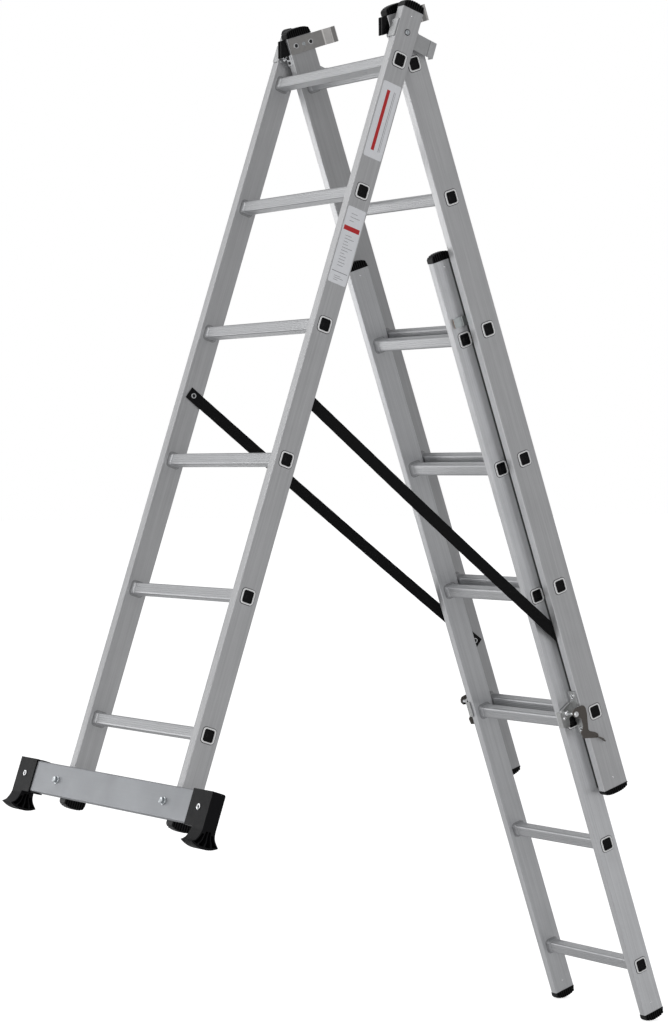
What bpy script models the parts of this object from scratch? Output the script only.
"""Three-section aluminium combination ladder, standing as an A-frame with its
third section lowered for stairs.

World frame: metres, +Z up.  The front section faces -Y, X runs across the rungs
and the left side is at -X.  Every section has its own flat coordinates:
    x     across the ladder,
    out   outward from the centre plane of the stiles (towards -Y),
    down  distance down the stile from the line where the front and rear
          stile planes cross.
The extension section shares the coordinates of the rear section.
"""
import math
from dataclasses import dataclass

import bpy
import bmesh
from mathutils import Matrix, Vector

for old_object in list(bpy.data.objects):
    bpy.data.objects.remove(old_object, do_unlink=True)

SIDES = (('left', -1), ('right', 1))

# ----------------------------------------------------------------- stance
FRONT_LEAN = math.radians(18.16)
REAR_LEAN = math.radians(18.87)      # rear and extension sections
CROSSING = Vector((0.0, -0.04817, 2.08128))
FRONT_AXES = Matrix.Translation(CROSSING) @ Matrix.Rotation(-FRONT_LEAN, 4, 'X')
REAR_AXES = Matrix.Translation(CROSSING) @ Matrix.Rotation(REAR_LEAN, 4, 'X')

# ----------------------------------------------------------------- shared sizes
RUNG_PITCH = 0.280
RUNG_COUNT = 6
RUNG_SIZE = 0.0240                   # square tube
RUNG_CORNER = 0.0045
RUNG_WALL = 0.0018
RUNG_PROUD = 0.0006                  # rung end beyond the outer stile face
STILE_LENGTH = 1.677
STILE_WALL = 0.0020
SHORT_END = 0.1075                   # stile end to nearest rung, short end
LONG_END = STILE_LENGTH - (RUNG_COUNT - 1) * RUNG_PITCH - SHORT_END
GAP = 0.0003                         # working gap between pieces

CAP_RISE = 0.0080                    # height of the domed end
CAP_SIDE = 0.0100                    # straight side below the dome
SPIGOT_LENGTH = 0.014
FACET_HALF = math.radians(4.0)       # half angle of a flat facet on a dome


@dataclass
class Section:
    """Sizes of one ladder section, and its place in the section coordinates."""
    name: str
    axes: Matrix
    width: float
    thick: float                     # stile size across the ladder
    depth: float                     # stile size front to back
    first_rung: float                # down
    top: float                       # down, upper end of the stiles
    centre: float = 0.0              # out, stile centre
    foot_side: float = CAP_SIDE      # straight side of the foot caps
    foot_facet: float = None         # angle of a flat facet on the foot caps

    @property
    def half_width(self):
        return self.width / 2

    @property
    def inner_x(self):
        return self.width / 2 - self.thick


TOP_RUNG = 0.0894                    # down, front and rear sections
EXTENSION_RUNG = 0.6582              # down, first rung of the lowered extension
EXTENSION_OUT = 0.0385               # extension section ahead of the rear section

FRONT = Section('front', FRONT_AXES, width=0.485, thick=0.023, depth=0.0490,
                first_rung=TOP_RUNG, top=TOP_RUNG - SHORT_END, foot_side=0.0145)
REAR = Section('rear', REAR_AXES, width=0.415, thick=0.020, depth=0.0620,
               first_rung=TOP_RUNG, top=TOP_RUNG - SHORT_END, foot_side=0.0060)
EXTENSION = Section('extension', REAR_AXES, width=0.345, thick=0.019, depth=0.0500,
                    first_rung=EXTENSION_RUNG, top=EXTENSION_RUNG - LONG_END,
                    centre=EXTENSION_OUT, foot_facet=REAR_LEAN)
FRONT_FACE = FRONT.depth / 2 + GAP   # out, seat of parts on the front stile faces
REAR_FACE = REAR.depth / 2 + GAP     # out, seat of parts on the rear stile faces

# Hinge pin: its offset from each section fixes where it lies down both stiles.
HINGE_FRONT_OUT = -0.0280
HINGE_REAR_OUT = 0.0180
SPREAD = FRONT_LEAN + REAR_LEAN
HINGE_FRONT_DOWN = (HINGE_REAR_OUT - HINGE_FRONT_OUT * math.cos(SPREAD)) / math.sin(SPREAD)
HINGE_REAR_DOWN = (HINGE_REAR_OUT * math.cos(SPREAD) - HINGE_FRONT_OUT) / math.sin(SPREAD)
HINGE_PIN_R = 0.0040
HINGE_HOLE_R = HINGE_PIN_R + GAP

LATCH_OUT, LATCH_DOWN = 0.0500, 1.4760     # latch pin, on the rear section
LATCH_X = 0.2100
LATCH_PIN_R = 0.0030
LATCH_HOLE_R = LATCH_PIN_R + GAP

# ----------------------------------------------------------------- materials


def material(name, colour, roughness, metallic):
    new = bpy.data.materials.new(name)
    new.use_nodes = True
    inputs = new.node_tree.nodes['Principled BSDF'].inputs
    inputs['Base Color'].default_value = (*colour, 1.0)
    inputs['Roughness'].default_value = roughness
    inputs['Metallic'].default_value = metallic
    return new


STILE_ALU = material('alu_stile', colour=(0.60, 0.61, 0.62), roughness=0.38, metallic=1.0)
RUNG_ALU = material('alu_rung', colour=(0.66, 0.67, 0.69), roughness=0.42, metallic=1.0)
BAR_ALU = material('alu_bar', colour=(0.55, 0.56, 0.58), roughness=0.45, metallic=1.0)
STEEL = material('zinc_steel', colour=(0.62, 0.63, 0.62), roughness=0.35, metallic=1.0)
DARK_STEEL = material('dark_steel', colour=(0.12, 0.115, 0.11), roughness=0.45, metallic=0.9)
PLASTIC = material('black_plastic', colour=(0.012, 0.012, 0.013), roughness=0.45, metallic=0.0)
WEBBING = material('black_webbing', colour=(0.015, 0.015, 0.016), roughness=0.85, metallic=0.0)

# ----------------------------------------------------------------- placing points


def place(x, out, down):
    """Section coordinates to the section's own XYZ axes."""
    return Vector((x, -out, -down))


def along_x(out, down, x):
    """Outline in (out, down), extruded across the ladder."""
    return place(x, out, down)


def along_down(x, out, down):
    """Outline in (x, out), extruded down the stile."""
    return place(x, out, down)


def along_out(x, down, out):
    """Outline in (x, down), extruded front to back."""
    return place(x, out, down)


# ----------------------------------------------------------------- outlines


def mirror(points, sign):
    """Put (x, value) points on the side given by sign."""
    return [(sign * x, value) for x, value in points]


def rounded_rect(centre_u, centre_v, width, height, radius, steps=3):
    points = []
    for sign_u, sign_v, start in ((1, 1, 0), (-1, 1, 90), (-1, -1, 180), (1, -1, 270)):
        corner_u = centre_u + sign_u * (width / 2 - radius)
        corner_v = centre_v + sign_v * (height / 2 - radius)
        for i in range(steps + 1):
            angle = math.radians(start + 90 * i / steps)
            points.append((corner_u + radius * math.cos(angle),
                           corner_v + radius * math.sin(angle)))
    return points


def circle(centre_u, centre_v, radius, count=20, phase=0.5):
    """Regular polygon; phase turns it by a fraction of one step."""
    angles = [2 * math.pi * (i + phase) / count for i in range(count)]
    return [(centre_u + radius * math.cos(angle), centre_v + radius * math.sin(angle))
            for angle in angles]


def dome(centre, half, edge, rise, way=1, facet=None, steps=(5, 5)):
    """Shallow arc in (out, down), from its front edge to its back edge.

    The edges lie at down = edge; way is +1 to bulge down, -1 to bulge up.
    A facet is a flat at that angle, with steps before and after it.
    """
    radius = (half * half + rise * rise) / (2 * rise)
    reach = math.asin(half / radius)
    if facet is None:
        angles = [reach * (1 - 2 * i / 10) for i in range(11)]
    else:
        front, back = facet + FACET_HALF, facet - FACET_HALF
        before, after = steps
        angles = [reach - (reach - front) * i / before for i in range(before + 1)]
        angles += [back - (back + reach) * i / after for i in range(after + 1)]
    middle = edge + way * (rise - radius)
    return [(centre + radius * math.sin(angle), middle + way * radius * math.cos(angle))
            for angle in angles]


# ----------------------------------------------------------------- solids


def loft(rings, mesh=None):
    """Closed solid through rings of points, added to mesh or to a new one."""
    if mesh is None:
        mesh = bmesh.new()
    rings = [[mesh.verts.new(point) for point in ring] for ring in rings]
    mesh.faces.new(rings[0])
    mesh.faces.new(list(reversed(rings[-1])))
    for near, far in zip(rings, rings[1:]):
        for i in range(len(near)):
            j = (i + 1) % len(near)
            mesh.faces.new((near[i], far[i], far[j], near[j]))
    return mesh


def prism(outline, start, end, put, mesh=None):
    return loft([[put(u, v, level) for u, v in outline] for level in (start, end)], mesh)


def tube(outer, inner, start, end, put):
    """Open tube between two outlines with the same point count."""
    mesh = bmesh.new()
    outer0, outer1, inner0, inner1 = (
        [mesh.verts.new(put(u, v, level)) for u, v in outline]
        for outline in (outer, inner) for level in (start, end))
    for i in range(len(outer)):
        j = (i + 1) % len(outer)
        mesh.faces.new((outer0[i], outer1[i], outer1[j], outer0[j]))
        mesh.faces.new((inner0[i], inner0[j], inner1[j], inner1[i]))
        mesh.faces.new((outer0[i], outer0[j], inner0[j], inner0[i]))
        mesh.faces.new((outer1[i], inner1[i], inner1[j], outer1[j]))
    return mesh


def turned(out, down, profile, sign, count):
    """Solid turned about an axis across the ladder; profile is (x, radius)."""
    return loft([[along_x(u, v, sign * x) for u, v in circle(out, down, radius, count, 0)]
                 for x, radius in profile])


# ----------------------------------------------------------------- objects


def link(name, data):
    new = bpy.data.objects.new(name, data)
    bpy.context.scene.collection.objects.link(new)
    return new


def add_frame(name, matrix, parent=None):
    """Empty that carries the pieces of one moving body."""
    frame = link(name, None)
    frame.empty_display_size = 0.05
    frame.matrix_world = matrix
    if parent is not None:
        frame.parent = parent
        frame.matrix_parent_inverse = parent.matrix_world.inverted()
    return frame


def mesh_object(mesh, name, frame, axes):
    """Object under frame, from a mesh given in the coordinates of axes."""
    bmesh.ops.recalc_face_normals(mesh, faces=mesh.faces)
    bmesh.ops.transform(mesh, matrix=frame.matrix_world.inverted() @ axes, verts=mesh.verts)
    data = bpy.data.meshes.new(name)
    mesh.to_mesh(data)
    mesh.free()
    new = link(name, data)
    new.parent = frame
    return new


def add_piece(mesh, name, finish, frame, axes):
    bmesh.ops.remove_doubles(mesh, verts=mesh.verts, dist=1e-7)
    piece = mesh_object(mesh, name, frame, axes)
    piece.data.materials.append(finish)
    return piece


def add_boolean(piece, mesh, name, modifier_name, operation, axes):
    """Boolean modifier driven by a hidden helper object."""
    helper = mesh_object(mesh, name, piece.parent, axes)
    helper.hide_render = True
    helper.display_type = 'WIRE'
    boolean = piece.modifiers.new(modifier_name, 'BOOLEAN')
    boolean.operation = operation
    boolean.solver = 'EXACT'
    boolean.object = helper


def cut(piece, mesh, axes):
    name = piece.name + '_cut'
    add_boolean(piece, mesh, name, 'cut_' + name, 'DIFFERENCE', axes)


def join(piece, mesh, part, axes):
    add_boolean(piece, mesh, f'{piece.name}_{part}', 'add_' + part, 'UNION', axes)


# ----------------------------------------------------------------- body frames
FRONT_FRAME = add_frame('front_section_frame', FRONT_AXES)
REAR_FRAME = add_frame(
    'rear_section_pivot',
    REAR_AXES @ Matrix.Translation(place(0, HINGE_REAR_OUT, HINGE_REAR_DOWN)))
EXTENSION_FRAME = add_frame(
    'extension_section_slide',
    REAR_AXES @ Matrix.Translation(place(0, EXTENSION_OUT, EXTENSION_RUNG)), REAR_FRAME)
LATCH_FRAMES = {
    side: add_frame(
        f'latch_{side}_pivot',
        REAR_AXES @ Matrix.Translation(place(sign * LATCH_X, LATCH_OUT, LATCH_DOWN)),
        REAR_FRAME)
    for side, sign in SIDES}

# ----------------------------------------------------------------- section parts


def add_stile(section, frame, side, sign, drill):
    """Rectangular tube with a hole for each rung; drill adds further cutters."""
    centre_x = sign * (section.half_width - section.thick / 2)
    outer = rounded_rect(centre_x, section.centre, section.thick, section.depth, 0.0022, 2)
    inner = rounded_rect(centre_x, section.centre, section.thick - 2 * STILE_WALL,
                         section.depth - 2 * STILE_WALL, 0.0010, 2)
    stile = add_piece(tube(outer, inner, section.top, section.top + STILE_LENGTH, along_down),
                      f'{section.name}_stile_{side}', STILE_ALU, frame, section.axes)
    cutter = bmesh.new()
    hole = RUNG_SIZE + 2 * GAP
    reach = 0.02                     # beyond both faces of the stile
    for i in range(RUNG_COUNT):
        outline = rounded_rect(section.centre, section.first_rung + RUNG_PITCH * i,
                               hole, hole, RUNG_CORNER + GAP)
        prism(outline, centre_x - reach, centre_x + reach, along_x, cutter)
    if drill:
        drill(cutter, sign)
    cut(stile, cutter, section.axes)


def add_rungs(section, frame):
    bore = RUNG_SIZE - 2 * RUNG_WALL
    end_x = section.half_width + RUNG_PROUD
    for i in range(RUNG_COUNT):
        down = section.first_rung + RUNG_PITCH * i
        outer = rounded_rect(section.centre, down, RUNG_SIZE, RUNG_SIZE, RUNG_CORNER)
        inner = rounded_rect(section.centre, down, bore, bore, RUNG_CORNER - RUNG_WALL)
        add_piece(tube(outer, inner, -end_x, end_x, along_x),
                  f'{section.name}_rung_{i + 1}', RUNG_ALU, frame, section.axes)


def add_cap(section, frame, name, sign, end, way, straight_side, facet=None):
    """Domed cap with a spigot in the stile; way is +1 for a foot, -1 for a top."""
    half = section.depth / 2
    seat = end + way * GAP
    outline = [(section.centre + half, seat)]
    outline += dome(section.centre, half, end + way * (GAP + straight_side), CAP_RISE,
                    way, facet, steps=(3, 6))
    outline.append((section.centre - half, seat))
    mesh = prism(outline, sign * section.half_width - (sign + 1) / 2 * section.thick,
                 sign * section.half_width - (sign - 1) / 2 * section.thick, along_x)
    bmesh.ops.recalc_face_normals(mesh, faces=mesh.faces)

    # The spigot is extruded from an inset of the flat seat.
    seat_face = next(face for face in mesh.faces
                     if all(abs(vert.co.z + seat) < 1e-5 for vert in face.verts))
    bmesh.ops.inset_individual(mesh, faces=[seat_face], thickness=STILE_WALL + GAP,
                               depth=0.0, use_even_offset=True)
    extruded = bmesh.ops.extrude_face_region(mesh, geom=[seat_face])
    for item in extruded['geom']:
        if isinstance(item, bmesh.types.BMVert):
            item.co.z = -(end - way * SPIGOT_LENGTH)
    bmesh.ops.delete(mesh, geom=[seat_face], context='FACES')
    add_piece(mesh, name, PLASTIC, frame, section.axes)


def add_section(section, frame, drill=None):
    for side, sign in SIDES:
        add_stile(section, frame, side, sign, drill)
        add_cap(section, frame, f'{section.name}_cap_top_{side}', sign,
                section.top, -1, CAP_SIDE)
        add_cap(section, frame, f'{section.name}_cap_foot_{side}', sign,
                section.top + STILE_LENGTH, 1, section.foot_side, section.foot_facet)
    add_rungs(section, frame)


# ----------------------------------------------------------------- stabiliser bar
BAR_DOWN = 1.6335                    # centre of the bar
BAR_HEIGHT, BAR_DEPTH = 0.0650, 0.0250
BAR_HALF = 0.3920                    # half length
BAR_WALL = 0.0025
BAR_BACK = FRONT_FACE
BAR_FRONT = BAR_BACK + BAR_DEPTH
BAR_CENTRE = (BAR_BACK + BAR_FRONT) / 2
BOLT_X = 0.2310
BOLT_R = 0.0040
BOLT_WASHER_R = 0.0108
BOLT_HEX_R = 0.0086                  # centre to flat
BOLT_HOLE_R = BOLT_R + GAP


def add_bolt_hole(cutter, sign, start, end):
    prism(circle(sign * BOLT_X, BAR_DOWN, BOLT_HOLE_R, 16), start, end, along_out, cutter)


def drill_front_stile(cutter, sign):
    """Bolt hole through the front wall of the stile."""
    add_bolt_hole(cutter, sign, 0.015, 0.035)


def add_bar():
    """Hollow tube bolted to the front faces of the stiles."""
    outer = rounded_rect(BAR_CENTRE, BAR_DOWN, BAR_DEPTH, BAR_HEIGHT, 0.0025, 2)
    inner = rounded_rect(BAR_CENTRE, BAR_DOWN, BAR_DEPTH - 2 * BAR_WALL,
                         BAR_HEIGHT - 2 * BAR_WALL, 0.0010, 2)
    bar = add_piece(tube(outer, inner, -BAR_HALF, BAR_HALF, along_x),
                    'stabiliser_bar', BAR_ALU, FRONT_FRAME, FRONT_AXES)
    cutter = bmesh.new()
    for _, sign in SIDES:
        add_bolt_hole(cutter, sign, BAR_BACK - 0.01, BAR_FRONT + 0.01)
    cut(bar, cutter, FRONT_AXES)


def add_bolt(side, sign):
    """Hexagon bolt through the bar, in one solid with its nut inside the stile."""
    def hexagon(scale=1.0):
        flat = scale * BOLT_HEX_R
        return flat / math.cos(math.radians(30)), flat

    seat = BAR_FRONT + GAP
    nut = FRONT.depth / 2 - STILE_WALL - GAP
    washer = (BOLT_WASHER_R, BOLT_WASHER_R)
    shank = (BOLT_R, BOLT_R)
    # out, (radius of even points, radius of odd points)
    stations = [
        (seat + 0.0075, hexagon(0.88)),
        (seat + 0.0065, hexagon()),
        (seat + 0.0018, hexagon()),
        (seat + 0.0018, washer),
        (seat, washer),
        (seat, shank),
        (nut, shank),
        (nut, hexagon(0.80)),
        (nut - 0.006, hexagon(0.80)),
    ]
    rings = [[place(sign * BOLT_X + radii[i % 2] * math.cos(math.pi * i / 6), out,
                    BAR_DOWN + radii[i % 2] * math.sin(math.pi * i / 6)) for i in range(12)]
             for out, radii in stations]
    add_piece(loft(rings), 'stabiliser_bolt_' + side, STEEL, FRONT_FRAME, FRONT_AXES)


# ----------------------------------------------------------------- bar end shoes
SHOE_X0, SHOE_X1 = 0.3375, 0.4120
SOLE_X0 = 0.3690                     # the foot is narrower than the sleeve
SHOE_WALL = 0.0026
SHOE_FRONT = BAR_FRONT + SHOE_WALL
SHOE_BACK = BAR_BACK - 0.0014
SHOE_TOP = BAR_DOWN - BAR_HEIGHT / 2 - SHOE_WALL
SLEEVE_BOTTOM = BAR_DOWN + BAR_HEIGHT / 2 + SHOE_WALL
SOLE_CENTRE = 0.0386                 # out
SOLE_HALF = 0.0301
SOLE_DOWN = 1.6985                   # tips of the sole
SOLE_RISE = 0.0090
# Flare from sleeve to sole, (out, down)
FLARE_FRONT = [(0.0526, 1.6730), (0.0541, 1.6790), (0.0563, 1.6850), (0.0610, 1.6930)]
FLARE_BACK = [(0.0112, 1.6955), (0.0150, 1.6915), (0.0193, 1.6860), (0.0220, 1.6790)]


def add_shoe(side, sign):
    """Sleeve over the bar end, flaring into a wide foot."""
    outline = [(SHOE_BACK, SHOE_TOP), (SHOE_FRONT, SHOE_TOP), (SHOE_FRONT, SLEEVE_BOTTOM)]
    outline += FLARE_FRONT
    # The facet of the sole is level when the ladder stands.
    outline += dome(SOLE_CENTRE, SOLE_HALF, SOLE_DOWN, SOLE_RISE,
                    facet=-FRONT_LEAN, steps=(7, 3))
    outline += FLARE_BACK + [(SHOE_BACK, SLEEVE_BOTTOM)]
    shoe = add_piece(prism(outline, sign * SHOE_X0, sign * SHOE_X1, along_x),
                     'stabiliser_shoe_' + side, PLASTIC, FRONT_FRAME, FRONT_AXES)

    start = sign * (SHOE_X0 - 0.01)
    socket = rounded_rect(BAR_CENTRE, BAR_DOWN, BAR_DEPTH + 2 * GAP, BAR_HEIGHT + 2 * GAP,
                          0.0026, 2)
    cutter = prism(socket, start, sign * (BAR_HALF + GAP), along_x)
    # The inner part keeps only the sleeve.
    below = [(-0.03, SLEEVE_BOTTOM), (0.11, SLEEVE_BOTTOM),
             (0.11, SLEEVE_BOTTOM + 0.06), (-0.03, SLEEVE_BOTTOM + 0.06)]
    prism(below, start, sign * SOLE_X0, along_x, cutter)
    cut(shoe, cutter, FRONT_AXES)


# ----------------------------------------------------------------- front brackets
PLATE_X1 = FRONT.inner_x - GAP       # plate against the inner stile face
PLATE_X0 = PLATE_X1 - 0.0030
PLATE_LAP_X = PLATE_X0 + 0.001       # lip and hook start inside the plate
PLATE_BACK = -0.0860                 # out
PLATE_BOTTOM = 0.0495                # down
LIP_FRONT = FRONT_FACE + 0.0024
EAR_R = 0.0090                       # round ear about the hinge pin


def add_front_bracket(side, sign):
    """Hinge plate with a lip over the stile and a hook behind the rear stile."""
    outline = [(LIP_FRONT, 0.0100), (FRONT_FACE - 0.004, 0.0125), (PLATE_BACK, 0.0165),
               (PLATE_BACK, PLATE_BOTTOM + 0.0005), (HINGE_FRONT_OUT - EAR_R, PLATE_BOTTOM)]
    for i in range(11):
        angle = math.pi + math.pi * i / 10
        outline.append((HINGE_FRONT_OUT + EAR_R * math.cos(angle),
                        HINGE_FRONT_DOWN - EAR_R * math.sin(angle)))
    outline += [(HINGE_FRONT_OUT + EAR_R, PLATE_BOTTOM), (LIP_FRONT, PLATE_BOTTOM - 0.003)]
    bracket = add_piece(prism(outline, sign * PLATE_X0, sign * PLATE_X1, along_x),
                        'front_bracket_' + side, STEEL, FRONT_FRAME, FRONT_AXES)

    lip_x = FRONT.half_width - 0.0020
    lip = [(PLATE_LAP_X, 0.0100), (lip_x - 0.0015, 0.0085), (lip_x, 0.0105),
           (lip_x, 0.0440), (lip_x - 0.0020, 0.0465), (PLATE_LAP_X, 0.0465)]
    join(bracket, prism(mirror(lip, sign), FRONT_FACE, LIP_FRONT, along_out),
         'lip', FRONT_AXES)

    hook_x = 0.2046
    hook_front = PLATE_BACK + 0.0028
    hook = [(PLATE_LAP_X, PLATE_BACK), (hook_x, PLATE_BACK),
            (hook_x, hook_front), (PLATE_LAP_X, hook_front)]
    join(bracket, prism(mirror(hook, sign), 0.0175, PLATE_BOTTOM, along_down),
         'hook', FRONT_AXES)

    cut(bracket, prism(circle(HINGE_FRONT_OUT, HINGE_FRONT_DOWN, HINGE_HOLE_R),
                       sign * (PLATE_X0 - 0.01), sign * (PLATE_X1 + 0.01), along_x),
        FRONT_AXES)


# ----------------------------------------------------------------- rear section fittings
FLANGE_X = REAR.half_width - 0.0015       # outer edge of the latch bracket flange
GUIDE_X = EXTENSION.half_width + 0.0010   # beside the outer face of the extension


def drill_rear_stile(cutter, sign):
    """Hinge pin hole through the outer wall of the stile."""
    prism(circle(HINGE_REAR_OUT, HINGE_REAR_DOWN, HINGE_HOLE_R),
          sign * (REAR.half_width - 0.004), sign * (REAR.half_width + 0.004), along_x, cutter)


def add_hinge_pin(side, sign):
    """Rivet through the front bracket ear and the outer wall of the rear stile."""
    collar_r, head_r = 0.0075, 0.0070
    collar_x = REAR.half_width + GAP
    head_x = REAR.half_width - STILE_WALL - GAP
    # x, radius
    profile = [(PLATE_X1 - 0.0002, HINGE_PIN_R), (PLATE_X0 - GAP, HINGE_PIN_R),
               (PLATE_X0 - GAP, collar_r), (collar_x, collar_r),
               (collar_x, HINGE_PIN_R), (head_x, HINGE_PIN_R),
               (head_x, head_r), (head_x - 0.0030, head_r)]
    add_piece(turned(HINGE_REAR_OUT, HINGE_REAR_DOWN, profile, sign, 20),
              'hinge_pin_' + side, STEEL, REAR_FRAME, REAR_AXES)


def add_rear_bracket(side, sign):
    """Plate on the inner stile face, stepped inwards behind the stile."""
    thick = 0.0026
    plate_x = REAR.inner_x - GAP
    step_x = plate_x - 0.0128
    front, back = REAR.depth / 2, -0.0840
    # x, out: outer face front to back, then inner face back to front
    outline = [(plate_x, front), (plate_x, -0.0600), (step_x, -0.0660), (step_x, back),
               (step_x - thick, back), (step_x - thick, -0.0652),
               (plate_x - thick, -0.0592), (plate_x - thick, front)]
    add_piece(prism(mirror(outline, sign), -0.0170, 0.0165, along_down),
              'rear_bracket_' + side, STEEL, REAR_FRAME, REAR_AXES)


def add_stop_block(side, sign):
    """Wedge on the front face of the stile, near its top."""
    outline = [(REAR_FACE, -0.0175), (0.0440, -0.0190), (0.0550, 0.0150), (REAR_FACE, 0.0165)]
    block = add_piece(prism(outline, sign * (REAR.inner_x + 0.0002),
                            sign * (REAR.half_width - 0.0008), along_x),
                      'stop_block_' + side, PLASTIC, REAR_FRAME, REAR_AXES)
    bevel = block.modifiers.new('edges', 'BEVEL')
    bevel.width = 0.0008
    bevel.segments = 1
    bevel.limit_method = 'ANGLE'
    bevel.angle_limit = math.radians(40)


def add_guide_lip(side, sign):
    """Angle on the rear stile, standing beside the extension stile."""
    thick = 0.0016
    edge_x = REAR.half_width - 0.0020
    lip_front = 0.0570
    outline = [(edge_x, REAR_FACE), (GUIDE_X, REAR_FACE), (GUIDE_X, lip_front),
               (GUIDE_X + thick, lip_front), (GUIDE_X + thick, REAR_FACE + thick),
               (edge_x, REAR_FACE + thick)]
    add_piece(prism(mirror(outline, sign), 0.6095, 0.6300, along_down),
              'guide_lip_' + side, STEEL, REAR_FRAME, REAR_AXES)


# ----------------------------------------------------------------- latches
LATCH_PLATE = 0.0020                 # thickness of the latch bracket
HOOK_X0, HOOK_X1 = 0.2086, 0.2112
# Outline of the latch hook, (out, down)
LATCH_HOOK = [
    (0.0565, 1.4690), (0.0520, 1.4650), (0.0450, 1.4640), (0.0300, 1.4640),
    (0.0250, 1.4665), (0.0228, 1.4720), (0.0235, 1.4850), (0.0305, 1.5170),
    (0.0290, 1.5220), (0.0165, 1.5290), (0.0105, 1.5345), (0.0100, 1.5400),
    (0.0150, 1.5425), (0.0480, 1.5310), (0.0500, 1.5180), (0.0400, 1.5070),
    (0.0395, 1.4900), (0.0430, 1.4850), (0.0540, 1.4825), (0.0580, 1.4760),
]


def latch_hole(start_x, end_x):
    return prism(circle(LATCH_OUT, LATCH_DOWN, LATCH_HOLE_R, 16), start_x, end_x, along_x)


def add_latch_bracket(side, sign):
    """Flange on the rear stile, wing past the extension stile, short front wrap."""
    flange_front = REAR_FACE + LATCH_PLATE
    wrap_x = EXTENSION.half_width - 0.0060
    wrap_back = 0.0646
    wrap_front = wrap_back + LATCH_PLATE
    outline = [(FLANGE_X, REAR_FACE), (GUIDE_X, REAR_FACE), (GUIDE_X, wrap_back),
               (wrap_x, wrap_back), (wrap_x, wrap_front),
               (GUIDE_X + LATCH_PLATE, wrap_front), (GUIDE_X + LATCH_PLATE, flange_front),
               (FLANGE_X, flange_front)]
    bracket = add_piece(prism(mirror(outline, sign), 1.4640, 1.5070, along_down),
                        'latch_bracket_' + side, STEEL, REAR_FRAME, REAR_AXES)
    # One rounded plate extends the flange above and below.
    ear = rounded_rect(sign * 0.1920, 1.4820, 0.0200, 0.0900, 0.0050)
    join(bracket, prism(ear, REAR_FACE, flange_front, along_out), 'ear', REAR_AXES)
    cut(bracket, latch_hole(sign * (GUIDE_X - 0.01), sign * (GUIDE_X + 0.01)), REAR_AXES)


def add_latch_pin(side, sign):
    """Pin through the bracket wing and the hook, with a collar and a head."""
    collar_r = 0.0052
    collar_x0 = GUIDE_X + LATCH_PLATE + GAP
    collar_x1 = HOOK_X0 - GAP
    # x, radius
    profile = [(GUIDE_X - 0.0006, LATCH_PIN_R), (collar_x0, LATCH_PIN_R),
               (collar_x0, collar_r), (collar_x1, collar_r),
               (collar_x1, LATCH_PIN_R), (HOOK_X1 + GAP, LATCH_PIN_R),
               (HOOK_X1 + GAP, 0.0056), (HOOK_X1 + 0.0018, 0.0050),
               (HOOK_X1 + 0.0030, LATCH_PIN_R)]
    add_piece(turned(LATCH_OUT, LATCH_DOWN, profile, sign, 16),
              'latch_pin_' + side, STEEL, REAR_FRAME, REAR_AXES)


def add_latch_hook(side, sign):
    hook = add_piece(prism(LATCH_HOOK, sign * HOOK_X0, sign * HOOK_X1, along_x),
                     'latch_hook_' + side, DARK_STEEL, LATCH_FRAMES[side], REAR_AXES)
    cut(hook, latch_hole(sign * (HOOK_X0 - 0.01), sign * (HOOK_X1 + 0.01)), REAR_AXES)


# ----------------------------------------------------------------- spreader straps
STRAP_FRONT = (FRONT.inner_x - 0.0016, 0.000, 0.787)   # (x, out, down), front section
STRAP_REAR = (0.1828, -0.004, 1.352)                   # (x, out, down), rear section
STRAP_OVERRUN = 0.012                                  # past each of these points
STRAP_WIDTH, STRAP_THICK = 0.0250, 0.0016


def add_strap(side, sign):
    """Flat strap between the front and rear stiles, built in world axes."""
    front_x, front_out, front_down = STRAP_FRONT
    rear_x, rear_out, rear_down = STRAP_REAR
    front = FRONT_AXES @ place(sign * front_x, front_out, front_down)
    rear = REAR_AXES @ place(sign * rear_x, rear_out, rear_down)
    run = (rear - front).normalized()
    wide = run.cross(Vector((1, 0, 0))).normalized()
    thick = wide.cross(run).normalized()
    start = front - run * STRAP_OVERRUN
    end = rear + run * STRAP_OVERRUN
    corners = ((-1, -1), (1, -1), (1, 1), (-1, 1))
    rings = [[point + wide * (STRAP_WIDTH / 2) * u + thick * (STRAP_THICK / 2) * v
              for u, v in corners]
             for point in (start, start.lerp(end, 0.5), end)]
    add_piece(loft(rings), 'strap_' + side, WEBBING, FRONT_FRAME, Matrix.Identity(4))


# ----------------------------------------------------------------- assembly
add_section(FRONT, FRONT_FRAME, drill_front_stile)
add_section(REAR, REAR_FRAME, drill_rear_stile)
add_section(EXTENSION, EXTENSION_FRAME)
add_bar()
for side_name, side_sign in SIDES:
    for add_part in (add_bolt, add_shoe, add_front_bracket, add_hinge_pin, add_rear_bracket,
                     add_stop_block, add_guide_lip, add_latch_bracket, add_latch_pin,
                     add_latch_hook, add_strap):
        add_part(side_name, side_sign)

bpy.context.view_layer.update()
